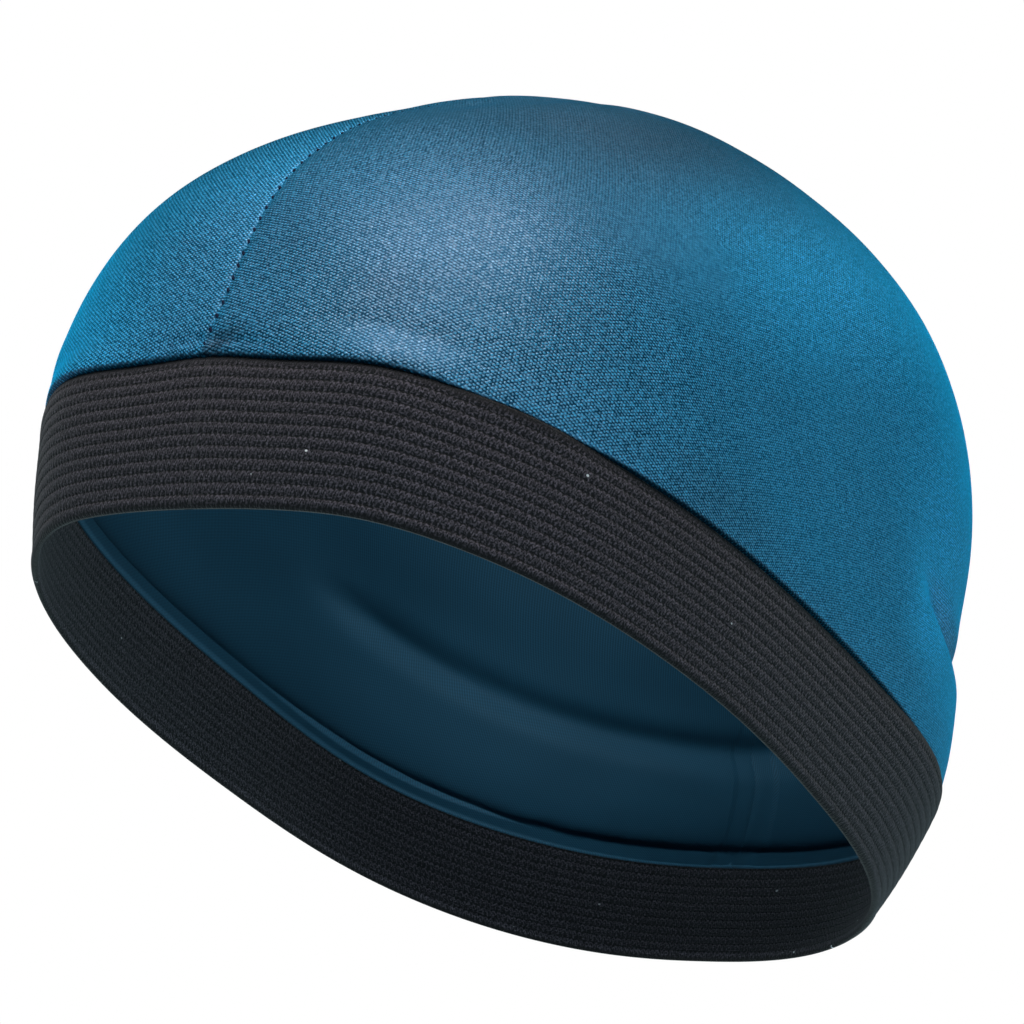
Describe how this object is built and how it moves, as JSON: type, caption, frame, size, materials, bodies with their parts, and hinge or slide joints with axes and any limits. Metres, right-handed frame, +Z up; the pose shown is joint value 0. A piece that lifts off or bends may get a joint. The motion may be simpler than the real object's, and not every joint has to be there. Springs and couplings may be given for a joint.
{
  "type": "wave cap",
  "caption": "Close satin dome cap with a centre seam from brow to nape and a ribbed elastic band round the head, as worn.",
  "frame": {"origin": "centre of the opening, in the plane of the band's lower edge, where the head comes in", "axes": "+X towards the wearer's left, -Y towards the front, +Z up, as the cap is worn; the band is pitched 24.9 degrees, high at the brow and low at the nape"},
  "size_m": [0.1546, 0.1954, 0.1687],
  "materials": {
    "satin": "teal stretch satin with a soft sheen and a fine diagonal weave",
    "elastic": "matt black knitted elastic with fine ribs along its length"
  },
  "bodies": {
    "root": {"crown_panel_left": "satin", "crown_panel_right": "satin", "elastic_band": "elastic"}
  },
  "joints": []
}
